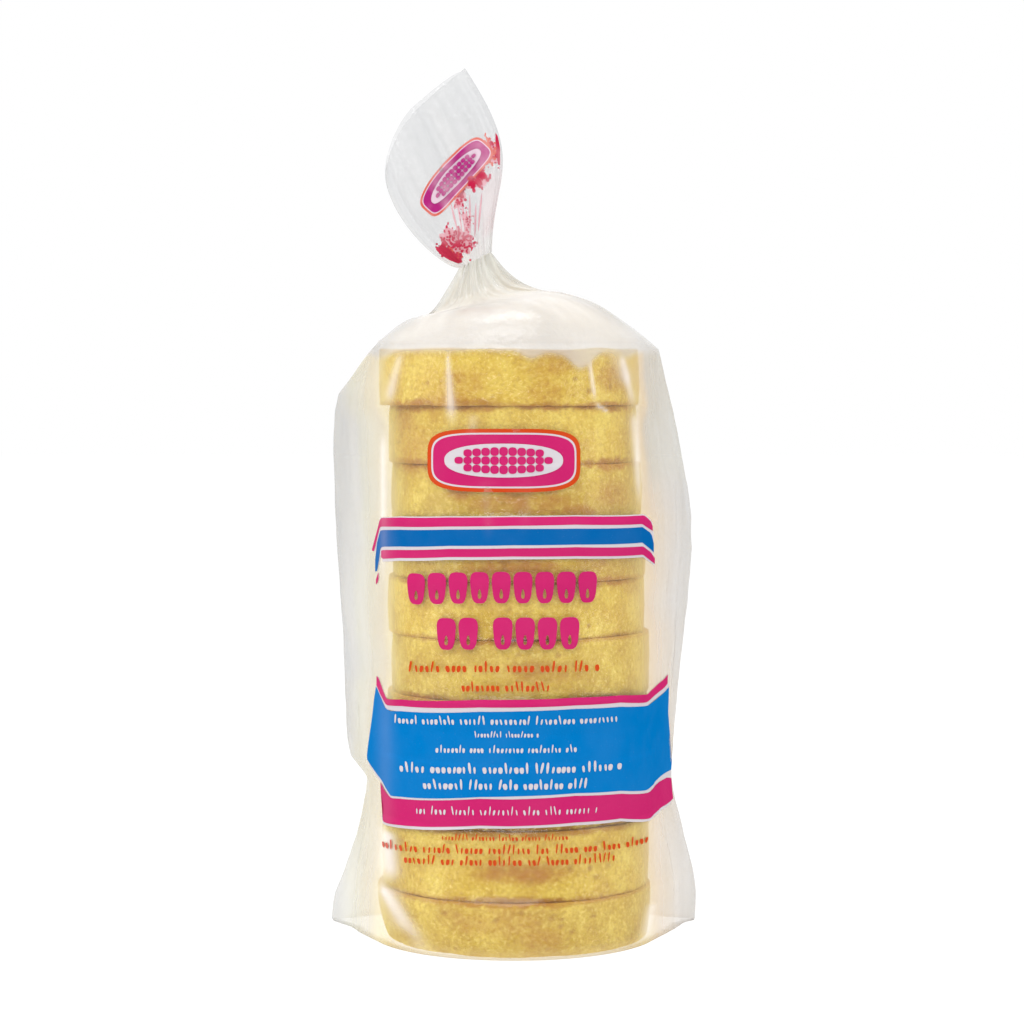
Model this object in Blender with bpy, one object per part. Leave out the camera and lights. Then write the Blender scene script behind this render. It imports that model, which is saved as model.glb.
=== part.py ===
"""A filled film bag: a tall clear pack round a stack of ten thick corn tortillas, its neck
gathered above them and its open end standing up as a flared tail.

The bag is sealed and see-through, so it is one closed solid out to the film's outer shape.
Metres, +Z up, the origin on the table under the middle of the stack, and the printed face
of the bag towards -Y.
"""

import math

import bpy
import numpy as np

MM = 0.001

# Driving dimensions
STACK_HEIGHT = 140.0 * MM
TORTILLA_RADIUS_TOP = 30.8 * MM
TORTILLA_RADIUS_BASE = 33.0 * MM
FILM_CLEARANCE = 0.6 * MM
FOOT_FLARE = 2.4 * MM
FOOT_FLARE_HEIGHT = 9.0 * MM
WING_SETBACK = 15.0 * MM
WING_EDGE_RADIUS = 1.1 * MM
PLEATS_ROUND_NECK = 9
PLEAT_DEPTH = 0.11
PLEAT_PHASE = 0.7
SHOULDER_DOMING = 2.2
MOUTH_LEAN = 0.35

# How finely the skin is divided
POINTS_ROUND = 72
RINGS_IN_BODY = 30
RINGS_IN_SHOULDER = 12
RINGS_IN_TAIL = 16

# Outer edge of the two side wings, from the table to the shoulder: height, left x, right x
WING_OUTLINE_MM = (
    (0.0, -44.8, 45.2),
    (5.0, -44.4, 45.4),
    (11.0, -42.4, 45.0),
    (22.0, -38.6, 42.2),
    (34.5, -36.2, 39.4),
    (38.5, -38.6, 39.3),
    (41.5, -40.5, 39.4),
    (69.0, -41.9, 41.9),
    (95.0, -43.2, 44.2),
    (112.0, -43.9, 42.0),
    (127.0, -43.6, 39.0),
    (135.0, -38.8, 37.0),
    (141.0, -34.4, 35.4),
)

# Seen from the front, each side of the shoulder is a Bezier curve from the top of the stack
# in to the neck, and each edge of the tail is one from the neck out to the bag's mouth:
# the x and z of its four control points.
SHOULDER_LEFT_MM = ((-34.4, 141.0), (-23.6, 152.7), (-25.6, 141.9), (-13.0, 160.4))
SHOULDER_RIGHT_MM = ((35.4, 141.0), (20.6, 159.2), (-3.6, 153.2), (-5.0, 164.4))
TAIL_LEFT_MM = ((-13.0, 160.4), (-21.1, 159.3), (-31.3, 171.2), (-30.6, 184.0))
TAIL_RIGHT_MM = ((-5.0, 164.4), (-4.8, 183.2), (3.8, 185.1), (-11.4, 208.0))

# Half the film's depth from front to back at the stack's top, the neck and the mouth, and
# how far the mouth's cut edge bows outwards
HALF_DEPTH_AT_TOP = 31.0 * MM
HALF_DEPTH_AT_NECK = 3.2 * MM
HALF_DEPTH_AT_MOUTH = 8.4 * MM
MOUTH_BOW = 3.4 * MM


def bezier(control_points_mm, t):
    """Points of the cubic Bezier curve at the parameters t, from 0 to 1."""
    start, leaving, arriving, end = np.array(control_points_mm) * MM
    t = np.asarray(t)[:, None]
    return (
        start * (1.0 - t) ** 3
        + 3.0 * leaving * (1.0 - t) ** 2 * t
        + 3.0 * arriving * (1.0 - t) * t**2
        + end * t**3
    )


def smooth_between(rows, at):
    """Reads the rows' columns at the fractional row numbers `at`, along a monotone cubic curve
    (Fritsch and Carlson's slopes), so that no value overshoots the rows it lies between."""
    rows = np.asarray(rows, float)
    step = np.diff(rows, axis=0)
    same_way = step[:-1] * step[1:] > 0.0
    slope = np.zeros_like(rows)
    both = np.where(same_way, step[:-1] + step[1:], 1.0)
    slope[1:-1] = np.where(same_way, 2.0 * step[:-1] * step[1:] / both, 0.0)
    slope[0], slope[-1] = step[0], step[-1]
    low = np.clip(np.floor(at).astype(int), 0, len(rows) - 2)
    t = (at - low)[:, None]
    return (
        rows[low] * (2.0 * t**3 - 3.0 * t**2 + 1.0)
        + slope[low] * (t**3 - 2.0 * t**2 + t)
        + rows[low + 1] * (3.0 * t**2 - 2.0 * t**3)
        + slope[low + 1] * (t**3 - t**2)
    )


def wrapped_section(left, right, radius, setback, edge_radius):
    """The film's closed outline round a disc of this radius at the origin and two wing edges,
    at (left, setback) and (right, setback): the convex hull of the disc and two small rounds.
    The points are evenly spaced along the front from the left wing to the right, then back."""

    def support(angle):
        """How far the hull reaches in each direction."""
        reach = [np.full_like(angle, radius)]
        for x in (left + edge_radius, right - edge_radius):
            reach.append(x * np.cos(angle) + setback * np.sin(angle) + edge_radius)
        return np.max(reach, axis=0)

    fine = np.linspace(-math.pi, math.pi, 1441)
    reach = support(fine)
    turn = np.gradient(reach, fine)
    outline = np.stack(
        [reach * np.cos(fine) - turn * np.sin(fine), reach * np.sin(fine) + turn * np.cos(fine)],
        axis=1,
    )
    at_left = int(np.argmin(outline[:, 0]))
    outline = np.roll(outline[:-1], -at_left, axis=0)
    outline = np.vstack([outline, outline[:1]])
    at_right = int(np.argmax(outline[:, 0]))
    along = np.concatenate([[0.0], np.cumsum(np.hypot(*np.diff(outline, axis=0).T))])
    half = POINTS_ROUND // 2
    stops = np.concatenate(
        [
            np.linspace(0.0, along[at_right], half, endpoint=False),
            np.linspace(along[at_right], along[-1], half, endpoint=False),
        ]
    )
    return np.stack([np.interp(stops, along, outline[:, k]) for k in (0, 1)], axis=1)


def body_rings():
    """Level sections from the table up to the top of the stack."""
    outline = np.array(WING_OUTLINE_MM) * MM
    rows = smooth_between(outline, np.linspace(0.0, len(outline) - 1.0, RINGS_IN_BODY))
    rings = []
    for height, left, right in rows:
        share = height / STACK_HEIGHT
        radius = TORTILLA_RADIUS_BASE + (TORTILLA_RADIUS_TOP - TORTILLA_RADIUS_BASE) * share
        radius += FILM_CLEARANCE + FOOT_FLARE * math.exp(-height / FOOT_FLARE_HEIGHT)
        setback = WING_SETBACK * (1.0 - 0.5 * share**4)
        section = wrapped_section(left, right, radius, setback, WING_EDGE_RADIUS)
        rings.append(np.column_stack([section, np.full(len(section), height)]))
    return rings


def gathered_ring(left, right, half_depth, bow, setback, pleating):
    """One tilted section of the shoulder, the neck or the tail, with its pleats: the hull
    section laid along the line from `left` to `right`, whose middle bows out by `bow`."""
    middle, across = (left + right) / 2.0, (right - left) / 2.0
    half_width = float(np.hypot(*across))
    disc = min(half_depth, half_width * 0.98)
    edge = min(WING_EDGE_RADIUS, disc * 0.8)
    section = wrapped_section(-half_width, half_width, disc, setback, edge)
    section[:, 1] *= half_depth / disc
    angle = np.arctan2(section[:, 1] / half_depth, section[:, 0] / half_width)
    pleat = 1.0 + pleating * np.cos(PLEATS_ROUND_NECK * angle + PLEAT_PHASE)
    section *= pleat[:, None] / (1.0 + pleating)
    share = section[:, 0] / half_width
    upwards = np.array([-across[1], across[0]]) / half_width
    bowed = bow * (1.0 - share**2) * (1.0 - MOUTH_LEAN * share)
    front = middle + share[:, None] * across + bowed[:, None] * upwards
    return np.column_stack([front[:, 0], section[:, 1], front[:, 1]])


def shoulder_rings():
    """From the top of the stack in to the neck. The depth falls off as a power of a cosine,
    and the pleats deepen towards the neck."""
    rings = []
    steps = np.linspace(0.0, 1.0, RINGS_IN_SHOULDER + 1)[1:]
    sides = zip(bezier(SHOULDER_LEFT_MM, steps), bezier(SHOULDER_RIGHT_MM, steps))
    for t, (left, right) in zip(steps, sides):
        fall = max(0.0, math.cos(0.5 * math.pi * t)) ** SHOULDER_DOMING
        half_depth = HALF_DEPTH_AT_NECK + (HALF_DEPTH_AT_TOP - HALF_DEPTH_AT_NECK) * fall
        setback = 0.5 * WING_SETBACK * (1.0 - t) ** 1.5
        rings.append(gathered_ring(left, right, half_depth, 0.0, setback, PLEAT_DEPTH * t**2))
    return rings


def tail_rings():
    """From the neck out to the open mouth, the film fanning out and its cut edge bowing."""
    rings = []
    steps = np.linspace(0.0, 1.0, RINGS_IN_TAIL + 1)[1:]
    sides = zip(bezier(TAIL_LEFT_MM, steps), bezier(TAIL_RIGHT_MM, steps))
    for t, (left, right) in zip(steps, sides):
        opening = math.sin(0.5 * math.pi * t)
        half_depth = HALF_DEPTH_AT_NECK + (HALF_DEPTH_AT_MOUTH - HALF_DEPTH_AT_NECK) * opening
        bow = MOUTH_BOW * t**2
        rings.append(gathered_ring(left, right, half_depth, bow, 0.0, PLEAT_DEPTH))
    return rings


def skin(name, rings):
    """A closed mesh through the rings, with a flat face under it and a cap over its mouth."""
    around = len(rings[0])
    points = np.vstack(rings)
    quads = []
    for ring in range(len(rings) - 1):
        low, high = ring * around, (ring + 1) * around
        for k in range(around):
            after = (k + 1) % around
            quads.append((low + k, low + after, high + after, high + k))
    base = tuple(reversed(range(around)))
    top = len(points)
    points = np.vstack([points, rings[-1].mean(axis=0)])
    first = (len(rings) - 1) * around
    cap = [(first + k, first + (k + 1) % around, top) for k in range(around)]
    mesh = bpy.data.meshes.new(name)
    mesh.from_pydata(points.tolist(), [], [base, *quads, *cap])
    mesh.validate()
    mesh.update()
    return mesh


def film_material():
    """Milky clear film over pale yellow tortillas."""
    material = bpy.data.materials.new("filled film")
    material.use_nodes = True
    shader = material.node_tree.nodes["Principled BSDF"]
    shader.inputs["Base Color"].default_value = (0.78, 0.66, 0.36, 1.0)
    shader.inputs["Roughness"].default_value = 0.35
    shader.inputs["Metallic"].default_value = 0.0
    return material


def main():
    """Clears the scene and builds the bag in a collection of its own."""
    for old in list(bpy.data.objects):
        bpy.data.objects.remove(old, do_unlink=True)
    pack = bpy.data.collections.new("corn tortilla stack")
    bpy.context.scene.collection.children.link(pack)
    mesh = skin("filled_bag", body_rings() + shoulder_rings() + tail_rings())
    mesh.shade_smooth()
    mesh.set_sharp_from_angle(angle=math.radians(40.0))
    mesh.materials.append(film_material())
    pack.objects.link(bpy.data.objects.new("filled_bag", mesh))


main()
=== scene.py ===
# %% [markdown]
# # A stack of corn tortillas in a printed film bag
#
# The real object is ten thick corn tortillas, pressed from pale yellow dough and stacked in a
# tube of thin clear film. The film is drawn tight round the front of the stack, stands off it
# in two wings at the sides, domes over the top and is gathered into a neck. Above the neck its
# open end stands up as a flared tail. Stripes and a badge are printed on its face.
#
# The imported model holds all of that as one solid, because the bag is sealed. This lesson puts
# the real things in its place: first the stage, then the tortillas, the film and the print.

import math

import bpy
import numpy as np
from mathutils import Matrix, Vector


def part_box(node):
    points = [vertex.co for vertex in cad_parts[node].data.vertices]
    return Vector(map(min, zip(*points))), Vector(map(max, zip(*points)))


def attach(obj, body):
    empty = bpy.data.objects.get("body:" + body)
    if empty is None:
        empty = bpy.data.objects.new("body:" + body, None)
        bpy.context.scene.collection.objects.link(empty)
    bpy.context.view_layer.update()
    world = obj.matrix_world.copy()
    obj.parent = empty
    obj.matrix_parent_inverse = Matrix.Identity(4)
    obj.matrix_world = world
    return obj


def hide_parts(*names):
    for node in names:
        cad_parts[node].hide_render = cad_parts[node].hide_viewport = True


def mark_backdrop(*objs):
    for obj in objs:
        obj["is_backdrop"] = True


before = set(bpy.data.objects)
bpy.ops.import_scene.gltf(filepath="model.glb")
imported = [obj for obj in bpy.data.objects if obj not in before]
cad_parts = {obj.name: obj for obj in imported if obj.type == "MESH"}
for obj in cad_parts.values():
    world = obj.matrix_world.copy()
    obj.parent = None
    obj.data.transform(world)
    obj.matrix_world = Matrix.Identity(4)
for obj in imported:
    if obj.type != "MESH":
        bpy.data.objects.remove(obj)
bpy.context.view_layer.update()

MM = 0.001
low, high = (np.array(corner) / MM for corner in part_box("filled_bag"))
print("packed solid, mm:", np.round(high - low, 1), "from", np.round(low, 1))


# %% [markdown]
# ## The stage
#
# Clear film is hard to light. It shows what is behind it, so the background is plain white, and
# it mirrors what is in front of it, so the room behind the camera is kept dimmer than the
# background. A wide soft light and a tall narrow one stand at each side, where the film's
# folds can catch them, and one hangs above for the domed top.

# %% Floor and world
def white_room(seen, in_front, behind, overhead):
    """The world. The camera sees an even white, `seen`. Everything else is lit by a room whose
    strength goes smoothly from `in_front` of the object to `behind` it, plus `overhead` times
    the square of the direction's height."""
    world = bpy.data.worlds.new("white room")
    bpy.context.scene.world = world
    world.use_nodes = True
    nodes, links = world.node_tree.nodes, world.node_tree.links
    nodes.clear()
    direction = nodes.new("ShaderNodeTexCoord")
    split = nodes.new("ShaderNodeSeparateXYZ")
    links.new(direction.outputs["Generated"], split.inputs[0])
    round_walls = nodes.new("ShaderNodeMapRange")
    round_walls.interpolation_type = "SMOOTHSTEP"
    for name, value in (("From Min", -0.7), ("From Max", 0.7), ("To Min", in_front), ("To Max", behind)):
        round_walls.inputs[name].default_value = value
    links.new(split.outputs["Y"], round_walls.inputs["Value"])
    squared = nodes.new("ShaderNodeMath")
    squared.operation = "MULTIPLY"
    links.new(split.outputs["Z"], squared.inputs[0])
    links.new(split.outputs["Z"], squared.inputs[1])
    lit = nodes.new("ShaderNodeMath")
    lit.operation = "MULTIPLY_ADD"
    links.new(squared.outputs[0], lit.inputs[0])
    lit.inputs[1].default_value = overhead
    links.new(round_walls.outputs["Result"], lit.inputs[2])
    rays = nodes.new("ShaderNodeLightPath")
    choose = nodes.new("ShaderNodeMix")
    links.new(rays.outputs["Is Camera Ray"], choose.inputs["Factor"])
    links.new(lit.outputs[0], choose.inputs["A"])
    choose.inputs["B"].default_value = seen
    shine = nodes.new("ShaderNodeBackground")
    shine.inputs["Color"].default_value = (1.0, 1.0, 1.0, 1.0)
    links.new(choose.outputs["Result"], shine.inputs["Strength"])
    out = nodes.new("ShaderNodeOutputWorld")
    links.new(shine.outputs["Background"], out.inputs["Surface"])


def soft_light(name, place, aim, width, height, power):
    """A rectangular lamp at `place`, facing `aim`, both in metres."""
    lamp = bpy.data.lights.new(name, "AREA")
    lamp.shape = "RECTANGLE"
    lamp.size, lamp.size_y, lamp.energy = width, height, power
    holder = bpy.data.objects.new(name, lamp)
    bpy.context.scene.collection.objects.link(holder)
    holder.location = place
    holder.rotation_euler = (Vector(aim) - Vector(place)).to_track_quat("-Z", "Y").to_euler()
    return holder


def plain_floor(reach):
    """A square of pale floor, and its white material."""
    mesh = bpy.data.meshes.new("floor")
    corners = [(-reach, -reach, 0.0), (reach, -reach, 0.0), (reach, reach, 0.0), (-reach, reach, 0.0)]
    mesh.from_pydata(corners, [], [(0, 1, 2, 3)])
    floor = bpy.data.objects.new("floor", mesh)
    bpy.context.scene.collection.objects.link(floor)
    material = bpy.data.materials.new("white floor")
    material.use_nodes = True
    shader = material.node_tree.nodes["Principled BSDF"]
    shader.inputs["Base Color"].default_value = (0.25, 0.25, 0.25, 1.0)
    shader.inputs["Roughness"].default_value = 0.9
    shader.inputs["Specular IOR Level"].default_value = 0.0
    shader.inputs["Emission Color"].default_value = (1.0, 1.0, 1.0, 1.0)
    shader.inputs["Emission Strength"].default_value = 0.80
    mesh.materials.append(material)
    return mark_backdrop(floor)


bpy.context.scene.view_settings.view_transform = "Standard"
bpy.context.scene.cycles.transparent_max_bounces = 24
white_room(seen=1.0, in_front=0.35, behind=1.0, overhead=0.3)
plain_floor(reach=4.0)
middle = (0.0, 0.0, 0.09)
soft_light("front softbox", (-0.22, -1.2, 0.85), middle, 1.3, 0.7, 9.4)
soft_light("left softbox", (-1.1, -0.25, 0.35), middle, 1.0, 1.0, 3.0)
soft_light("right softbox", (1.1, -0.25, 0.35), middle, 1.0, 1.0, 2.5)
soft_light("left strip", (-0.75, -0.35, 0.30), middle, 0.08, 0.9, 0.45)
soft_light("right strip", (0.80, -0.30, 0.30), middle, 0.08, 0.9, 0.45)
soft_light("top softbox", (0.0, -0.10, 0.85), middle, 0.5, 0.4, 2.9)

# %% Camera
CAMERA_HEIGHT = 0.135
CAMERA_DISTANCE = 0.680
CAMERA_TILT = math.radians(2.8)
CAMERA_LENS = 99.2

camera = bpy.data.objects.new("camera", bpy.data.cameras.new("camera"))
camera.data.lens = CAMERA_LENS
camera.data.sensor_width = 36.0
camera.location = (-0.0002, -CAMERA_DISTANCE, CAMERA_HEIGHT)
camera.rotation_euler = (math.pi / 2.0 - CAMERA_TILT, 0.0, 0.0)
bpy.context.scene.collection.objects.link(camera)
bpy.context.scene.camera = camera
print("camera at", tuple(round(v, 3) for v in camera.location))


# %% [markdown]
# ## Laying a grid of points into a mesh
#
# Every piece below is a function of two parameters, worked out for a whole grid at once. The
# shapes are in millimetres, and this one helper turns them into a mesh in metres. It can close
# a grid into a ring, and close each end of that ring with a fan of triangles. Numbers that
# belong to the points, such as how milky the film is, go along as attributes.

# %% Grids, noise and smooth steps
def grid_faces(index, ring, low_hub=None, high_hub=None):
    """Quads of a grid of point numbers, as lists. `ring` joins the last column to the first. A
    hub is the number of a point that closes the first or the last row with triangles."""
    after = np.roll(index, -1, axis=1)
    if not ring:
        index, after = index[:, :-1], after[:, :-1]
    faces = np.stack([index[:-1], after[:-1], after[1:], index[1:]], axis=-1).reshape(-1, 4).tolist()
    if low_hub is not None:
        faces += np.stack([after[0], index[0], np.full_like(index[0], low_hub)], axis=-1).tolist()
    if high_hub is not None:
        faces += np.stack([index[-1], after[-1], np.full_like(index[0], high_hub)], axis=-1).tolist()
    return faces


def lay_mesh(name, place, faces, fields):
    """An object from points in mm, its faces, and fields of a number or a colour a point."""
    mesh = bpy.data.meshes.new(name)
    mesh.from_pydata((place * MM).tolist(), [], faces)
    mesh.shade_smooth()
    for label, values in fields.items():
        if values.ndim == 3:
            colour = np.ones((len(place), 4), np.float32)
            colour[: values.shape[0] * values.shape[1], :3] = values.reshape(-1, 3)
            mesh.attributes.new(label, "FLOAT_COLOR", "POINT").data.foreach_set("color", colour.ravel())
        else:
            number = np.zeros(len(place), np.float32)
            number[: values.size] = values.ravel()
            mesh.attributes.new(label, "FLOAT", "POINT").data.foreach_set("value", number)
    piece = bpy.data.objects.new(name, mesh)
    bpy.context.scene.collection.objects.link(piece)
    return piece


def lay_grid(name, points, ring=False, low_pole=None, high_pole=None, **fields):
    """Makes an object from points[row, column, xyz] in mm. A pole is one more point that closes
    the first or last row. Faces turn outwards where the rows go up and the columns go
    anticlockwise seen from above."""
    poles = [pole for pole in (low_pole, high_pole) if pole is not None]
    place = np.vstack([points.reshape(-1, 3), *(np.reshape(pole, (1, 3)) for pole in poles)])
    count = points.shape[0] * points.shape[1]
    low_hub = count if low_pole is not None else None
    high_hub = len(place) - 1 if high_pole is not None else None
    faces = grid_faces(np.arange(count).reshape(points.shape[:2]), ring, low_hub, high_hub)
    return lay_mesh(name, place, faces, fields)


def lay_patches(name, patches, **fields):
    """One object from many small grids. Each patch is (points, ring, pole), where the pole, or
    None, closes the last row. Each field is a function of the points."""
    place, faces, start = [], [], 0
    for points, ring, pole in patches:
        count = points.shape[0] * points.shape[1]
        index = start + np.arange(count).reshape(points.shape[:2])
        place.append(points.reshape(-1, 3))
        hub = None
        if pole is not None:
            place.append(np.reshape(pole, (1, 3)))
            hub = start + count
        faces += grid_faces(index, ring, high_hub=hub)
        start += count + (pole is not None)
    place = np.vstack(place)
    return lay_mesh(name, place, faces, {label: measure(place) for label, measure in fields.items()})


def smooth_step(start, end, x):
    """0 before `start`, 1 after `end`, and 3t^2 - 2t^3 between them."""
    t = np.clip((x - start) / (end - start), 0.0, 1.0)
    return t * t * (3.0 - 2.0 * t)


def bump_field(points, cell, seed):
    """A smooth random field from -1 to 1. Each corner of a lattice, `cell` mm apart, gets a
    number by scrambling its whole-number address, and the eight corners round a point are
    blended by 3t^2 - 2t^3 along each axis."""
    scaled = points / cell + 0.37 * seed
    corner = np.floor(scaled).astype(np.int64)
    t = scaled - corner
    t = t * t * (3.0 - 2.0 * t)
    total = np.zeros(points.shape[:-1])
    for step in np.ndindex(2, 2, 2):
        x, y, z = np.moveaxis(corner + np.array(step), -1, 0)
        scramble = (x * 73856093) ^ (y * 19349663) ^ (z * 83492791) ^ (seed * 9973)
        scramble = ((scramble ^ (scramble >> 13)) * 1274126177) & 0xFFFFFFFF
        scramble = ((scramble ^ (scramble >> 15)) * 2246822519) & 0xFFFFFFFF
        value = (scramble >> 8 & 0xFFFF) / 32767.5 - 1.0
        total += value * np.prod(np.where(step, t, 1.0 - t), axis=-1)
    return total


def rough_field(points, cell, seed, octaves=3):
    """Bump fields added up, each with half the cell and half the height of the one before."""
    layers = [bump_field(points, cell / 2**k, seed + k) / 2**k for k in range(octaves)]
    return sum(layers) / (2.0 - 2.0 ** (1 - octaves))


# %% [markdown]
# ## The tortillas
#
# Each tortilla is a thick disc of corn dough, shaped by hand. No two have the same width or
# thickness, none lies exactly over the one below, and the rims are ragged where the dough
# broke. A disc could be a cylinder with a displacement modifier, but the rim's crumbly lip and
# the pits are easier to place as numbers on a grid: one parameter goes round the tortilla, and
# the other goes from the middle of its underside, out, up the side and back to the middle.

# %% Sizes of the ten tortillas, from the bottom up
THICKNESS = np.array([12.3, 16.6, 15.3, 14.6, 14.3, 13.4, 13.8, 13.4, 13.7, 13.1])
RADIUS = np.array([33.3, 32.6, 32.2, 32.0, 31.4, 31.2, 31.0, 30.4, 30.2, 31.6])
SHIFT_X = np.array([0.3, 0.7, 0.7, 1.0, 1.8, 0.8, 1.6, 0.9, 0.0, -1.0])
SHIFT_Y = np.array([-1.1, -0.3, 0.1, 0.2, -0.2, 0.1, -0.3, 0.2, 0.1, 0.0])
UNDERSIDE = np.concatenate([[0.0], np.cumsum(THICKNESS)[:-1]]) + 0.15
RIM_ROUNDING = 0.35
POINTS_ROUND_RIM = 440
print("stack height, mm:", round(float(THICKNESS.sum()), 1))


# Toasted patches on the front: x, height, half width, half height
TOASTED = (
    (1.5, 105.3, 12.0, 3.2), (0.5, 90.4, 12.0, 2.4), (2.0, 19.4, 12.0, 2.4), (12.0, 86.0, 5.0, 3.0),
    (-12.0, 108.0, 4.0, 2.4), (14.0, 103.0, 6.0, 2.0),
)
# Places that are only lightly browned, in the same way
BROWNED = (
    (-14.0, 129.0, 8.0, 2.0), (-12.0, 132.4, 6.0, 4.0), (9.0, 130.5, 7.0, 3.6), (24.0, 134.0, 4.0, 3.0),
    (20.0, 93.0, 9.0, 4.0), (6.0, 66.0, 11.0, 2.6), (24.0, 106.0, 6.0, 4.0), (-4.0, 8.0, 12.0, 3.0),
)
# Scorched stretches of the seams, where the rims tear more and their brown, part crust and part painted seam shade,
# is wider: x, height, half width, half height
SCORCHED = (
    (-24.0, 127.4, 6.5, 2.6), (-9.5, 127.6, 5.5, 2.4), (6.0, 127.0, 5.0, 1.2), (22.0, 127.2, 7.0, 1.6),
    (-24.5, 113.6, 6.5, 2.4), (23.5, 114.0, 8.0, 2.4), (2.0, 100.3, 14.0, 1.6), (-20.0, 86.5, 9.0, 1.5),
    (20.0, 86.6, 9.0, 1.6), (0.0, 73.2, 16.0, 1.3), (-22.0, 58.8, 7.0, 1.4), (20.0, 58.8, 9.0, 1.4),
    (0.0, 12.8, 15.0, 1.6), (0.0, 29.0, 26.0, 2.0),
)
# Pits on the front: x, height, radius
PITS = (
    (13.5, 20.3, 0.8), (18.2, 20.0, 0.7), (13.8, 5.6, 0.7), (9.0, 9.0, 0.8), (11.2, 7.0, 0.6),
    (-4.0, 8.6, 0.7), (2.0, 10.4, 0.6), (-16.0, 9.6, 0.6), (18.0, 131.0, 0.8), (14.5, 133.8, 0.6),
    (12.4, 127.4, 0.7), (-20.0, 133.0, 0.5), (-8.5, 61.5, 0.6), (21.0, 58.0, 0.5), (-27.5, 119.0, 0.6),
)


def spots(place, table):
    """Bell-shaped spots on the front of the stack, from rows of x, height and one or two sizes."""
    total = np.zeros(place.shape[:-1])
    for x, z, *sizes in table:
        reach = ((place[..., 0] - x) / sizes[0]) ** 2 + ((place[..., 2] - z) / sizes[-1]) ** 2
        total = np.maximum(total, np.exp(-(reach**2)))
    return total * (place[..., 1] < 0.0)


def side_profile(rounding, thickness, radius):
    """The half outline of a tortilla, as distance from the axis and height: flat underneath, a
    quarter round, a side that bulges as a sine, a quarter round, and flat on top."""
    flat = np.linspace(0.0, 1.0, 13)[1:] ** 0.6 * (radius - rounding)
    turn = np.linspace(0.0, math.pi / 2.0, 11)[1:-1]
    side = np.linspace(0.0, 1.0, 29)
    out = np.concatenate([
        flat,
        radius - rounding + rounding * np.sin(turn),
        np.full(len(side), radius),
        radius - rounding + rounding * np.cos(turn),
        flat[::-1],
    ])
    up = np.concatenate([
        np.zeros(len(flat)),
        rounding - rounding * np.cos(turn),
        rounding + side * (thickness - 2.0 * rounding),
        thickness - rounding + rounding * np.sin(turn),
        np.full(len(flat), thickness),
    ])
    return out, up


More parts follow.
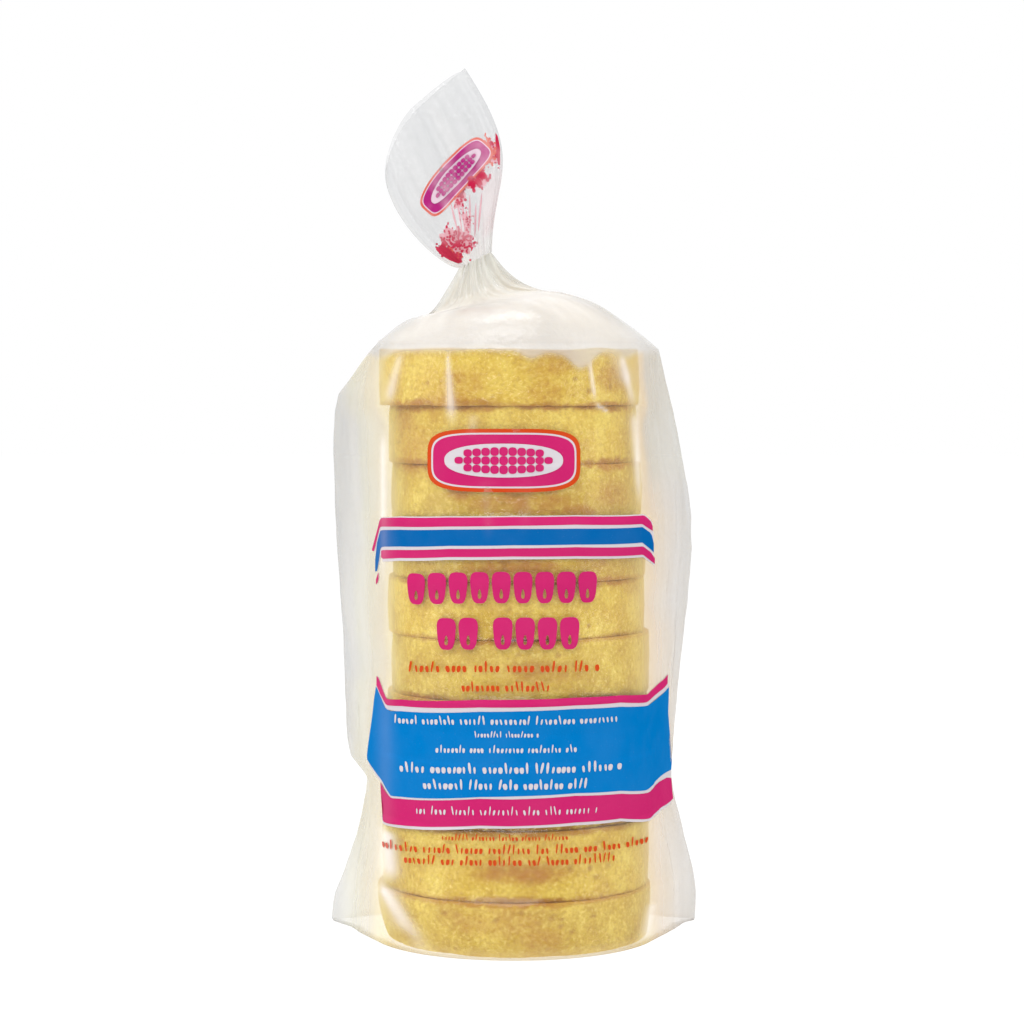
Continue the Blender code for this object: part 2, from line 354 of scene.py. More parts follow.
def tortilla(k):
    """Tortilla k: the profile swept round, its radius swelled by a few slow waves and its side
    by a sine of the height, then roughened by crumb noise, torn at the rims and pitted."""
    out, up = side_profile(RIM_ROUNDING, THICKNESS[k], RADIUS[k])
    angle = np.linspace(0.0, 2.0 * math.pi, POINTS_ROUND_RIM, endpoint=False)[None, :]
    out, up = out[:, None], up[:, None] + 0.0 * angle
    draw = np.random.default_rng(400 + k)
    waves = -0.10 + sum(
        draw.uniform(-0.18, 0.18) / n * np.cos(n * angle + draw.uniform(0.0, 2.0 * math.pi))
        for n in (2, 3, 4, 5)
    )
    height = up / THICKNESS[k]
    belly = 0.20 * np.sin(math.pi * np.clip(height, 0.0, 1.0)) - 0.20
    lean = np.where(np.cos(angle) < 0.0, 2.2, 0.5) * np.cos(angle) ** 2
    taper = -lean * (1.0 - height) ** 2 if k == 0 else 0.0
    at_side = smooth_step(0.72, 0.93, out / RADIUS[k])
    radius = out + at_side * (waves + belly + taper)
    flat = np.stack([radius * np.cos(angle), radius * np.sin(angle), up], axis=-1)
    place = flat + np.array([SHIFT_X[k], SHIFT_Y[k], UNDERSIDE[k]])
    crumb = 0.16 * rough_field(place, 3.4, 10 + k, 3)
    lump = 0.20 * bump_field(place, 11.0, 40 + k)
    rim = smooth_step(0.38, 0.49, np.abs(height - 0.5)) * at_side
    ragged = np.clip(rough_field(place * [1.0, 1.0, 0.4], 4.8, 70 + k, 3), -0.1, 1.0)
    scorch = spots(place, SCORCHED)
    seen_on = 1.0 - 0.8 * smooth_step(0.80, 0.97, np.abs(np.cos(angle)))
    torn = rim * (0.10 + 0.75 * ragged + 0.35 * scorch) * seen_on
    from_rim = THICKNESS[k] * (0.5 - np.abs(height - 0.5))
    crumbling = rough_field(place, 1.9, 75 + k, 3)
    crust_width = 0.75 + 1.4 * np.clip(ragged, 0.0, 1.0) + 0.5 * crumbling + 2.4 * scorch * (0.6 + 1.3 * crumbling)
    crust_width = np.maximum(crust_width, 0.3)
    # Brown at the rims: partly the dough's own crust, partly painted shade in the seams between tortillas, so the
    # top and bottom of the stack get little of it.
    crust = (1.0 - smooth_step(0.30, 1.0, from_rim / crust_width)) * at_side * (0.65 + 0.35 * scorch)
    outermost = (height > 0.5) if k == len(THICKNESS) - 1 else (height < 0.5) & (k == 0)
    crust = np.where(outermost, 0.15 * crust, crust)
    pit_seed = rough_field(place * [1.0, 1.0, 1.3], 3.1, 90 + k, 2)
    # The pit mask also darkens the colour in the hollows, as painted shade.
    pit = 0.8 * smooth_step(0.56, 0.70, pit_seed) * at_side * (1.0 - rim)
    pit = np.maximum(pit, spots(place, PITS))
    toast = np.maximum(spots(place, TOASTED), 0.45 * spots(place, BROWNED))
    toast = toast * (0.95 + 0.6 * rough_field(place, 2.4, 130))
    toast = np.maximum(toast, 0.7 * smooth_step(0.30, 0.65, rough_field(place * [1, 1, 2.0], 24.0, 140, 2)))
    inward = at_side * (crumb + lump - 0.20 - 0.8 * torn - 0.35 * pit)
    radial = np.stack([np.cos(angle) + 0.0 * up, np.sin(angle) + 0.0 * up, 0.0 * up], axis=-1)
    place = place + radial * inward[..., None]
    unevenness = 0.45 if k == len(THICKNESS) - 1 else 0.12
    settled = (0.16 + unevenness * bump_field(place * [1, 1, 0.0], 9.0, 55 + k)) * at_side
    place[..., 2] += np.where(height > 0.5, 1.0, 0.0) * settled - rim * torn * np.sign(height - 0.5) * 0.18
    place[..., 2] = np.maximum(place[..., 2], 0.12)
    axis = np.array([SHIFT_X[k], SHIFT_Y[k], UNDERSIDE[k]])
    return lay_grid(
        f"tortilla_{k + 1:02d}", place, ring=True, low_pole=axis,
        high_pole=axis + [0.0, 0.0, THICKNESS[k]], crust=np.clip(crust, 0.0, 1.0), pit=pit,
        toast=np.clip(toast, 0.0, 1.0) * at_side,
    )


tortillas = [tortilla(k) for k in range(len(THICKNESS))]
print("tortillas:", len(tortillas), "with", len(tortillas[0].data.polygons), "faces each")


# %% [markdown]
# ## The film
#
# The bag is a flat tube of film with a stack pushed into it, so each level section is a loop
# pulled taut round a disc and two creased edges, the wings. A loop like that needs no
# simulation. Between the wing tip and the disc it's a straight line that touches the disc, and
# on the disc it's the disc's own arc. Cloth simulation would find the same shape slowly, and
# with no say over where the folds fall.

# %% The wings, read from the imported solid
def wing_tips(node):
    """Height, and the x and y of both wing tips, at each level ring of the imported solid."""
    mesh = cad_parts[node].data
    points = np.zeros(len(mesh.vertices) * 3)
    mesh.vertices.foreach_get("co", points)
    points = points.reshape(-1, 3) / MM
    levels, count = np.unique(np.round(points[:, 2], 2), return_counts=True)
    tips = []
    for level in levels[count >= 60]:
        ring = points[np.abs(points[:, 2] - level) < 0.01]
        left, right = ring[np.argmin(ring[:, 0])], ring[np.argmax(ring[:, 0])]
        if right[0] - left[0] > 60.0:
            tips.append((level, left[0], left[1], right[0], right[1]))
    return np.array(tips)


WING_TIPS = wing_tips("filled_bag")
STACK_TOP = float(WING_TIPS[-1, 0])
print("wing levels:", len(WING_TIPS), "up to", STACK_TOP, "mm")

# %% A loop pulled taut
FRONT, BACK = -1.0, 1.0


def taut(x, face, disc, tips):
    """One face of a loop pulled round a disc and two tips, read at x. With X and Y measured
    from the disc's middle, outwards, the straight part obeys X cos b + Y sin b = r, where the
    line touches the disc at the angle b = atan2(Yt, Xt) + acos(r / |tip|). Returns y, the
    outward normal's x and y, and the distance along the film from the disc's middle."""
    disc_x, disc_y, radius = disc
    left_x, left_y, right_x, right_y = tips
    side = np.where(x < disc_x, -1.0, 1.0)
    tip_x = np.where(x < disc_x, disc_x - left_x, right_x - disc_x)
    tip_y = face * (np.where(x < disc_x, left_y, right_y) - disc_y)
    reach = np.maximum(np.hypot(tip_x, tip_y), radius * 1.0001)
    touch = np.arctan2(tip_y, tip_x) + np.arccos(radius / reach)
    along = np.abs(x - disc_x)
    on_disc = along < radius * np.cos(touch)
    safe = np.clip(along / radius, 0.0, 1.0)
    height = np.where(
        on_disc, radius * np.sqrt(1.0 - safe**2), (radius - along * np.cos(touch)) / np.sin(touch)
    )
    turn = np.where(on_disc, np.arccos(safe), touch)
    straight = (along - radius * np.cos(touch)) / np.sin(touch)
    distance = np.where(on_disc, radius * np.arcsin(safe), radius * (math.pi / 2.0 - touch) + straight)
    return disc_y + face * height, side * np.cos(turn), face * np.sin(turn), side * distance


# %% How tight the film sits at each height
FILM_CLEARANCE = 0.6
FOOT_FLARE = 0.9
FOOT_FLARE_HEIGHT = 9.0
BRIDGING = 0.45

MIDDLES = UNDERSIDE + THICKNESS / 2.0


def disc_at(z):
    """The middle and radius of the disc that the film is pulled round at the height z. The
    middle is blended from one tortilla to the next. The radius is the largest reach of any
    tortilla, less 0.45 mm for each mm above or below it, so that the film bridges the gaps and
    never cuts a rim, and it flares at the foot, where the film runs out under the stack."""
    middle_x, middle_y = np.interp(z, MIDDLES, SHIFT_X), np.interp(z, MIDDLES, SHIFT_Y)
    level = np.asarray(z, float)[..., None]
    beyond = np.clip(np.abs(level - MIDDLES) - THICKNESS / 2.0, 0.0, None)
    sideways = np.hypot(SHIFT_X - middle_x[..., None], SHIFT_Y - middle_y[..., None])
    reach = (RADIUS + sideways - BRIDGING * beyond).max(axis=-1)
    return middle_x, middle_y, reach + FILM_CLEARANCE + FOOT_FLARE * np.exp(-z / FOOT_FLARE_HEIGHT)


def tips_at(z):
    """The wing tips at the height z, with the slight waver of a creased edge."""
    left_x, left_y, right_x, right_y = (np.interp(z, WING_TIPS[:, 0], WING_TIPS[:, k]) for k in range(1, 5))
    here = np.stack([z, 0.0 * z, 0.0 * z], axis=-1)
    left_x = left_x + 0.35 * rough_field(here, 9.0, 5)
    right_x = right_x + 0.35 * rough_field(here, 9.0, 6)
    return left_x, left_y, right_x, right_y


# %% [markdown]
# ## Creases
#
# What makes film look like film is its creases. Each one here is a soft ridge along a line on
# the bag's face: it lifts the film by a fraction of a millimetre and makes it milkier, since
# creased film scatters more light, and whiter, which is a painted highlight where the crease
# would catch the light. They are given by where they start and end, seen from the front, and
# run down from the gathered neck as they do on the real bag.

# %% Creases on the front: x and height of both ends, half width at both ends, lift, milkiness and painted highlight
CREASES = (
    (-26.0, 140.0, -29.4, 127.0, 1.0, 1.6, 0.15, 0.30),
    (-15.0, 140.4, -13.9, 122.0, 0.40, 1.7, 0.10, 0.42),
    (17.4, 138.5, 19.0, 128.0, 0.6, 0.7, 0.35, 0.42),
    (19.0, 128.0, 22.6, 125.8, 0.6, 0.4, 0.25, 0.42),
    (25.2, 139.6, 28.4, 126.4, 0.7, 1.2, 0.15, 0.24),
    (28.4, 126.4, 29.9, 103.0, 1.2, 0.8, 0.12, 0.24),
    (-30.6, 121.0, -30.9, 84.0, 0.9, 0.8, 0.25, 0.25),
    (-31.6, 14.0, -19.0, 0.5, 1.1, 2.4, 0.20, 0.30),
    (33.2, 9.0, 30.6, 0.5, 1.6, 1.8, 0.10, 0.20),
    (-29.8, 27.0, -28.6, 14.0, 2.2, 3.4, 0.0, 0.34),
    (-28.6, 14.0, -25.5, 3.0, 3.4, 2.4, 0.0, 0.22),
    (23.0, 141.5, 27.0, 131.5, 2.4, 2.0, 0.0, 0.20),
    (-9.0, 126.0, -9.6, 120.0, 1.6, 1.2, 0.05, 0.20),
    (-6.4, 111.0, -5.4, 96.0, 1.0, 1.3, 0.10, 0.10),
    (3.4, 111.0, 2.6, 98.0, 1.0, 1.4, 0.10, 0.06),
)


def crease_fields(x, z):
    """How far the creases lift the film at x, z, and how milky they make it; the same number sets
    how strong their painted highlight is. Each ridge is a bell curve of the distance to its line,
    as wide as its half width there, and faded in and out at its ends."""
    lift, milk = np.zeros(np.broadcast(x, z).shape), np.zeros(np.broadcast(x, z).shape)
    for x0, z0, x1, z1, start_width, end_width, height, milkiness_and_highlight in CREASES:
        run = np.array([x1 - x0, z1 - z0])
        length = float(np.hypot(*run))
        run /= length
        along = ((x - x0) * run[0] + (z - z0) * run[1]) / length
        across = (x - x0) * run[1] - (z - z0) * run[0]
        half_width = start_width + (end_width - start_width) * np.clip(along, 0.0, 1.0)
        fade = smooth_step(-0.04, 0.12, along) * (1.0 - smooth_step(0.66, 1.05, along))
        ridge = fade * np.exp(-((across / half_width) ** 2))
        lift = lift + height * ridge
        milk = milk + milkiness_and_highlight * ridge
    return lift, milk


# The milky film's colours hold painted light: one white film is given a lit white for the top, a shaded grey for the
# wings and the tail, a yellow glow from the dough for beside the stack, and a white highlight for the creases. The
# neck's colour is darker and greener.
SHADED_FILM = np.array([0.38, 0.38, 0.375])
LIT_FILM = np.array([0.73, 0.70, 0.67])
CREASE_HIGHLIGHT = np.array([0.95, 0.89, 0.82])
NECK_FILM = np.array([0.60, 0.585, 0.49])
DOUGH_GLOW_FILM = np.array([0.72, 0.54, 0.21])
SHADED_GREY_HAZE = np.array([0.47, 0.455, 0.375])
# Haze beside the stack: distance from its middle as a share of its radius, milkiness, colour. The colour is painted
# light: a yellow glow from the dough over the stack's edge, turning to a shaded grey out on the wing
LEFT_HAZE = np.array([
    (0.72, 0.035, 0.74, 0.60, 0.25), (0.80, 0.08, 0.88, 0.70, 0.22), (0.88, 0.28, 0.92, 0.76, 0.26),
    (0.94, 0.44, 0.84, 0.71, 0.36), (1.00, 0.42, 0.68, 0.58, 0.36), (1.06, 0.40, 0.64, 0.57, 0.38),
    (1.12, 0.34, 0.61, 0.57, 0.41), (1.18, 0.30, 0.54, 0.52, 0.38), (1.24, 0.29, 0.47, 0.46, 0.42),
    (1.32, 0.27, 0.38, 0.38, 0.375), (1.45, 0.24, 0.38, 0.38, 0.375),
])
RIGHT_HAZE = np.array([
    (0.72, 0.035, 0.74, 0.60, 0.25), (0.82, 0.15, 0.86, 0.68, 0.24), (0.90, 0.34, 0.84, 0.66, 0.24),
    (0.97, 0.46, 0.73, 0.53, 0.26), (1.03, 0.42, 0.65, 0.49, 0.30), (1.09, 0.36, 0.60, 0.475, 0.32),
    (1.15, 0.31, 0.56, 0.47, 0.37), (1.21, 0.28, 0.48, 0.42, 0.36), (1.32, 0.25, 0.40, 0.38, 0.36),
    (1.45, 0.23, 0.38, 0.38, 0.375),
])


def side_haze(x, z, beyond):
    """The film's milkiness and its colour with painted light, from the middle of the face, past
    the edge of the stack, out over a wing, read from the tables. High on the right it's greyer,
    which is painted shade."""
    left, right = (
        np.stack([np.interp(beyond, table[:, 0], table[:, k]) for k in range(1, 5)], axis=-1)
        for table in (LEFT_HAZE, RIGHT_HAZE)
    )
    haze = np.where((x < 0.0)[..., None], left, right)
    grey = 0.75 * smooth_step(0.98, 1.04, beyond) * smooth_step(104.0, 114.0, z) * (x > 0.0)
    return haze[..., 0], blend_colour(haze[..., 1:], SHADED_GREY_HAZE, grey)


def blend_colour(first, second, share):
    """first + share (second - first), for colours and an array of shares."""
    return first + np.asarray(share)[..., None] * (np.asarray(second) - first)


def wing_share(x, tips):
    """0 at the middle of the face, 1 at a wing's tip."""
    left_x, _, right_x, _ = tips
    return np.clip(np.where(x < 0.0, x / left_x, x / right_x), 0.0, 1.0)


def scallops(x):
    """Where the milky top of the bag dips over the stack's front edge: bell curves of x."""
    dips = ((4.0, 2.6, 0.7), (15.5, 3.6, 1.4), (26.5, 2.4, 0.6), (-31.0, 3.0, 0.5))
    return sum(depth * np.exp(-(((x - middle) / width) ** 2)) for middle, width, depth in dips)


def top_haze(share, folds):
    """How milky and what colour the bag's top is: a lit white, thinner out at the sides and a
    shaded grey there, both painted light, and varied by `folds`, a field from about -1 to 1."""
    sides = smooth_step(0.80, 0.98, np.abs(share))
    milk = 0.50 + 0.16 * folds - 0.10 * sides
    return milk, blend_colour(LIT_FILM, SHADED_FILM, np.clip(0.10 - 0.5 * folds + 0.45 * sides, 0.0, 1.0))


def body_point(x, z, face, lift=0.0):
    """The film's surface at x and height z on one face, with its waves and creases, raised by
    `lift` along its outward normal. Returns the points, the film's milkiness and its colour
    where it's milky, which is painted light: a shaded grey out on the wings, a painted yellow
    glow from the dough beside the stack and at its foot, and a lit warm white at the top."""
    disc, tips = disc_at(z), tips_at(z)
    y, normal_x, normal_y, along = taut(x, face, disc, tips)
    share = wing_share(x, tips)
    loose = smooth_step(0.78, 0.90, share) * (1.0 - smooth_step(0.97, 1.0, share))
    flat = np.stack([along + 0.0 * z, 0.45 * z + 0.0 * x, 40.0 * face + 0.0 * x + 0.0 * z], axis=-1)
    waves = loose * (0.9 * bump_field(flat, 9.0, 21) + 0.5 * bump_field(flat, 4.0, 22))
    clinging = (1.0 - loose) * 0.10 * (1.0 + bump_field(flat * [1.0, 0.35, 1.0], 5.0, 23))
    push = waves + clinging
    streaks = 0.5 * rough_field(flat * [1.0, 0.22, 1.0], 3.4, 24)
    streaks = streaks + 0.8 * (0.75 - 2.2 * np.abs(bump_field(flat * [1.0, 0.14, 1.0], 4.2, 32)))
    beyond = np.abs(x - disc[0]) / disc[2]
    milk, tint = side_haze(x, z + 0.0 * x, beyond)
    milk = milk + 0.05 * smooth_step(0.88, 1.0, share) + 0.10 * smooth_step(0.92, 1.06, beyond) * streaks
    # At the foot the film is milkier and takes the dough's painted yellow glow.
    at_foot = (1.0 - smooth_step(0.8, 3.5, z + 0.0 * x)) * (1.0 - smooth_step(0.80, 0.95, beyond))
    milk = milk + 0.35 * at_foot
    tint = blend_colour(tint, DOUGH_GLOW_FILM, at_foot)
    if face == FRONT:
        raised, crease_milk_and_highlight = crease_fields(x, z)
        push = push + raised * (1.0 - smooth_step(0.97, 1.0, share))
        milk = milk + crease_milk_and_highlight
        # The creases' whiter colour is a painted highlight.
        tint = blend_colour(tint, CREASE_HIGHLIGHT, np.clip(3.0 * crease_milk_and_highlight, 0.0, 1.0))
    rim_noise = rough_field(np.stack([x, 0.0 * x, 7.0 * face + 0.0 * x], axis=-1), 6.0, 31, 2)
    over_top = smooth_step(138.9, 141.4, z + 0.9 * rim_noise + 2.6 * scallops(x) * (face == FRONT))
    top_milk, top_tint = top_haze(share, 0.0)
    milk = milk + (top_milk - milk) * over_top
    tint = tint + (top_tint - tint) * over_top[..., None]
    push = push * (1.0 - smooth_step(0.985, 1.0, share)) + lift
    points = np.stack([x + normal_x * push, y + normal_y * push, z + 0.0 * x], axis=-1)
    return points, np.clip(milk, 0.0, 1.0), tint


# %% [markdown]
# ## Shoulder, neck and tail
#
# Above the stack the level sections give way to tilted ones, because the bag is gathered
# towards its upper left. Each section lies along a line between two curves, the outline's left
# and right side. The film is pleated more and more as it nears the neck, and the pleats open
# again into the tail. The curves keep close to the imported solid's own outline.

# %% Outline curves, mm: the x and height of four control points each
SHOULDER_LEFT = ((-34.4, 141.0), (-18.5, 157.0), (-24.6, 139.4), (-13.0, 160.4))
SHOULDER_RIGHT = ((35.4, 141.0), (10.2, 163.4), (7.4, 147.2), (-5.0, 164.4))
TAIL_LEFT = ((-13.0, 160.4), (-17.5, 160.6), (-31.0, 173.0), (-30.6, 184.0))
TAIL_RIGHT = ((-5.0, 164.4), (-4.8, 183.2), (3.8, 185.1), (-11.4, 208.0))
NECK_HALF_DEPTH = 3.0
MOUTH_HALF_DEPTH = 6.5


def bezier(control, t):
    """Points of a cubic Bezier curve: (1-t)^3 a + 3(1-t)^2 t b + 3(1-t) t^2 c + t^3 d."""
    a, b, c, d = np.array(control)
    t = np.asarray(t)[..., None]
    return a * (1 - t) ** 3 + 3 * b * (1 - t) ** 2 * t + 3 * c * (1 - t) * t**2 + d * t**3


def pleats(angle, seed, counts=(6, 9, 13, 19)):
    """A closed wavy function of the angle, from about -1 to 1: cosines of whole numbers of
    waves with random phases, sharpened so that the ridges are narrower than the valleys."""
    draw = np.random.default_rng(seed)
    total = sum(np.cos(n * angle + draw.uniform(0.0, 2.0 * math.pi)) / n**0.35 for n in counts)
    total = total / sum(n**-0.35 for n in counts)
    return np.sign(total) * np.abs(total) ** 0.8


def shoulder_point(share, t, face):
    """The film between the stack's top, t = 0, and the neck, t = 1. `share` runs from -1 at the
    left side to 1 at the right. The section is a taut loop in the tilted plane, deep as a power
    of a cosine of t, with pleats that grow as t squared."""
    share, t = share + 0.0 * t, t + 0.0 * share
    left, right = bezier(SHOULDER_LEFT, t), bezier(SHOULDER_RIGHT, t)
    middle, across = (left + right) / 2.0, (right - left) / 2.0
    half = np.hypot(across[..., 0], across[..., 1])
    top_x, top_y, top_radius = disc_at(np.array(STACK_TOP))
    fall = np.cos(math.pi / 2.0 * t) ** 2.2
    depth = NECK_HALF_DEPTH + (top_radius - NECK_HALF_DEPTH) * fall
    radius = np.minimum(depth, 0.97 * half)
    offset = (top_x - middle[..., 0]) * (1.0 - t) ** 3
    setback = WING_TIPS[-1, 2] * (1.0 - t) ** 1.5 * radius / depth
    x = share * half
    y, normal_x, normal_y, _ = taut(x, face, (offset, 0.0 * t, radius), (-half, setback, half, setback))
    y = y * depth / radius + top_y * (1.0 - t)
    angle = np.arctan2(y, x)
    flat = np.stack([12.0 * np.cos(angle), 12.0 * np.sin(angle), 40.0 * t + 0.0 * x], axis=-1)
    fold = pleats(angle + 0.35 * t, 61) * (0.2 + 3.4 * t**2) * np.minimum(1.0, depth / 9.0)
    fold = fold * smooth_step(0.0, 0.25, t) + 0.8 * smooth_step(0.05, 0.4, t) * bump_field(flat, 4.0, 25)
    edge = 1.0 - smooth_step(0.93, 1.0, np.abs(share)) * (1.0 - smooth_step(0.6, 1.0, t))
    fold = fold * edge
    x, y = x + normal_x * fold, y + normal_y * fold
    along = across / half[..., None]
    folds = rough_field(np.stack([10.0 * np.cos(angle), 10.0 * np.sin(angle), 9.0 * t], axis=-1), 3.0, 26)
    # The milky colour carries the painted light of the top, and towards the neck it turns darker and greener.
    milk, tint = top_haze(share, folds * smooth_step(0.0, 0.2, t))
    milk = milk - 0.12 * (1.0 - smooth_step(0.0, 0.05, t)) - 0.08 * smooth_step(0.6, 0.9, t)
    tint = blend_colour(tint, NECK_FILM, 0.85 * smooth_step(0.50, 0.97, t))
    points = np.stack([
        middle[..., 0] + x * along[..., 0], y, middle[..., 1] + x * along[..., 1]
    ], axis=-1)
    return points, np.clip(milk, 0.0, 1.0), tint


def tail_point(share, t, face):
    """The film between the neck, t = 0, and the open mouth, t = 1: two pleated layers between
    the tail's outline curves. The layers part by half an ellipse, and folds like flattened
    triangle waves run up them, the same number at every height, so that they fan out."""
    share, t = share + 0.0 * t, t + 0.0 * share
    left, right = bezier(TAIL_LEFT, t), bezier(TAIL_RIGHT, t)
    middle, across = (left + right) / 2.0, (right - left) / 2.0
    half = np.hypot(across[..., 0], across[..., 1])
    depth = NECK_HALF_DEPTH + (MOUTH_HALF_DEPTH - NECK_HALF_DEPTH) * np.sin(math.pi / 2.0 * t)
    round_edge = np.sqrt(np.clip(1.0 - share**2, 0.0, 1.0))
    y = face * depth * round_edge
    angle = np.arctan2(y / depth, share)
    fold = pleats(angle + 0.35, 61) * (1.3 - 0.5 * t) * np.minimum(1.0, round_edge * 2.0)
    wave = np.stack([share * 9.0 + 0.0 * t, 26.0 * t + 0.0 * share, 40.0 * face + 0.0 * share * t], axis=-1)
    fold = fold + 1.0 * t * bump_field(wave, 7.0, 27) * round_edge
    y = y + face * fold
    along = across / half[..., None]
    up = np.stack([-along[..., 1], along[..., 0]], axis=-1)
    bow = 3.4 * t**2 * (1.0 - share**2) * (1.0 - 0.35 * share) + 0.5 * t**4 * bump_field(wave, 4.0, 28)
    fan = np.stack([share * 9.0 + 0.0 * t, 7.0 * t + 0.0 * share, 40.0 * face + 0.0 * share * t], axis=-1)
    milk = 0.21 + 0.16 * (1.0 - smooth_step(0.0, 0.35, t)) + 0.13 * rough_field(fan, 4.0, 29)
    points = np.stack([
        middle[..., 0] + share * across[..., 0] + bow * up[..., 0], y,
        middle[..., 1] + share * across[..., 1] + bow * up[..., 1],
    ], axis=-1)
    # The milky colour is painted light: a lit white near the neck, a shaded grey higher up the tail, and a pink
    # blush right of the middle.
    tail_shade = np.clip(smooth_step(0.0, 0.4, t) - 0.5 * bump_field(fan, 3.0, 33), 0.0, 1.0)
    tint = blend_colour(LIT_FILM, [0.35, 0.36, 0.375], tail_shade)
    blush = smooth_step(0.30, 0.70, share) * smooth_step(0.06, 0.14, t) * (1.0 - smooth_step(0.40, 0.62, t))
    tint = blend_colour(tint, [0.62, 0.46, 0.47], 0.8 * blush)
    return points, np.clip(milk + 0.08 * blush, 0.0, 1.0), tint


# %% The film round the stack, as one ring-shaped grid
FRONT_COLUMNS = 240
BACK_COLUMNS = 130
BODY_ROWS = 196
SHOULDER_ROWS = 46
BASE_ROWS = 8
TAIL_ROWS = 70


def round_the_bag():
    """The two faces' shares, -1 to 1, in the order that a ring of columns takes them: the front
    from left to right, then the back from right to left. Sines crowd them towards the wings."""
    front = np.sin(np.linspace(-1.0, 1.0, FRONT_COLUMNS, endpoint=False) * math.pi / 2.0)
    back = np.sin(np.linspace(1.0, -1.0, BACK_COLUMNS, endpoint=False) * math.pi / 2.0)
    return front, back


def both_faces(section, *level):
    """Calls section(share, *level, face) for the front's columns and then the back's, and sets
    the results side by side: points, milkiness and tint."""
    front, back = round_the_bag()
    halves = [section(share[None, :], *level, face) for share, face in ((front, FRONT), (back, BACK))]
    return [np.hstack(pair) for pair in zip(*halves)]


def body_section(share, z, face):
    """The level sections, with x as a share of the way to the wing tips."""
    left_x, _, right_x, _ = tips_at(z)
    return body_point((left_x + right_x) / 2.0 + (right_x - left_x) / 2.0 * share, z, face)


def film_round_stack():
    """Level sections up the stack, tilted ones over the shoulder, and a shrinking copy of the
    lowest section under the stack."""
    body = both_faces(body_section, np.linspace(0.0, STACK_TOP, BODY_ROWS)[:, None])
    top = both_faces(shoulder_point, np.linspace(0.0, 1.0, SHOULDER_ROWS + 1)[1:, None])
    points, milk, tint = (np.vstack(pair) for pair in zip(body, top))
    shrink = np.linspace(0.12, 1.0, BASE_ROWS, endpoint=False)[:, None, None]
    base = points[:1] * shrink * [1.0, 1.0, 0.0] + [0.0, 0.0, 0.03]
    clear = np.full(base.shape[:2], -0.4)
    shine = np.vstack([np.full(base.shape[:2], 0.2), np.ones(milk.shape)])
    # Under the stack the film takes the painted shaded grey.
    return lay_grid(
        "film_bag", np.vstack([base, points]), ring=True, low_pole=[0.0, 0.0, 0.03],
        milk=np.vstack([clear, milk]), tint=np.vstack([0.0 * base + SHADED_FILM, tint]), shine=shine,
    )


def film_tail():
    """The gathered end above the neck, open at its mouth."""
    points, milk, tint = both_faces(tail_point, np.linspace(0.0, 1.0, TAIL_ROWS)[:, None])
    return lay_grid("film_tail", points, ring=True, milk=milk, tint=tint, shine=np.ones(milk.shape))


bag = film_round_stack()
tail = film_tail()
print("film faces:", len(bag.data.polygons), "and", len(tail.data.polygons))


# %% [markdown]
# ## The print
#
# The ink could be painted into the film's own colour, but then its edges would be only as sharp
# as the film's grid. Instead each field of colour is a patch of its own, a little way outside
# the film, bent over the same creases. The stripes are given by their upper and lower edges
# along x, and the small shapes by outlines. The badge holds a corn cob, the title is two rows
# of corn kernels and the small rows are strings of grains: it's a made-up design.

# %% Placing print on the bag
def on_front(x, z, lift):
    """The point of the film's front at x and height z, `lift` mm outside it."""
    return body_point(x, z, FRONT, lift)[0]


def on_tail(x, z, lift, face=FRONT):
    """The point of the tail's front or back that is seen at x, z from the front. The section
    through it is the one whose line passes through x, z, found by looking along the tail for
    the place where the point's distance from that line changes sign."""
    t = np.linspace(0.0, 1.0, 161)
    left, right = bezier(TAIL_LEFT, t), bezier(TAIL_RIGHT, t)
    across = right - left
    from_left_x, from_left_z = x[..., None] - left[:, 0], z[..., None] - left[:, 1]
    beyond = across[:, 0] * from_left_z - across[:, 1] * from_left_x
    last = np.clip((beyond > 0.0).sum(axis=-1) - 1, 0, len(t) - 2)
    here = np.take_along_axis(beyond, last[..., None], -1)[..., 0]
    there = np.take_along_axis(beyond, last[..., None] + 1, -1)[..., 0]
    found = t[last] + (t[1] - t[0]) * np.clip(here / np.where(here == there, 1.0, here - there), 0.0, 1.0)
    left, right = bezier(TAIL_LEFT, found), bezier(TAIL_RIGHT, found)
    across = right - left
    share = ((x - left[..., 0]) * across[..., 0] + (z - left[..., 1]) * across[..., 1]) / (across**2).sum(axis=-1)
    points, _, _ = tail_point(np.clip(2.0 * share - 1.0, -0.995, 0.995), found, face)
    return points + np.array([0.0, face * lift, 0.0])


def strip(edges, lift=0.18, spread=0.14, step=0.5, place=on_front):
    """A field of colour between an upper and a lower edge, given as rows of x, top, bottom. Both
    edges are moved out by `spread`, so that the colours lap over the white lines under them."""
    table = np.array(edges) + [0.0, spread, -spread]
    columns = int((table[-1, 0] - table[0, 0]) / step) + 2
    rows = int((table[:, 1] - table[:, 2]).max() / step) + 2
    x = np.linspace(table[0, 0], table[-1, 0], columns)[None, :]
    top, bottom = (np.interp(x, table[:, 0], table[:, k]) for k in (1, 2))
    z = bottom + (top - bottom) * np.linspace(0.0, 1.0, rows)[:, None]
    return place(x + 0.0 * z, z, lift), False, None


def outline(half_x, half_z, power=1.0, taper=0.0, points=40):
    """A closed outline round the origin: a superellipse, its exponent 2 / power, that is wider
    at the top than at the bottom by `taper`."""
    angle = np.linspace(0.0, 2.0 * math.pi, points, endpoint=False)
    x = np.sign(np.cos(angle)) * np.abs(np.cos(angle)) ** power
    z = np.sign(np.sin(angle)) * np.abs(np.sin(angle)) ** power
    return half_x * x * (1.0 + taper * z), half_z * z


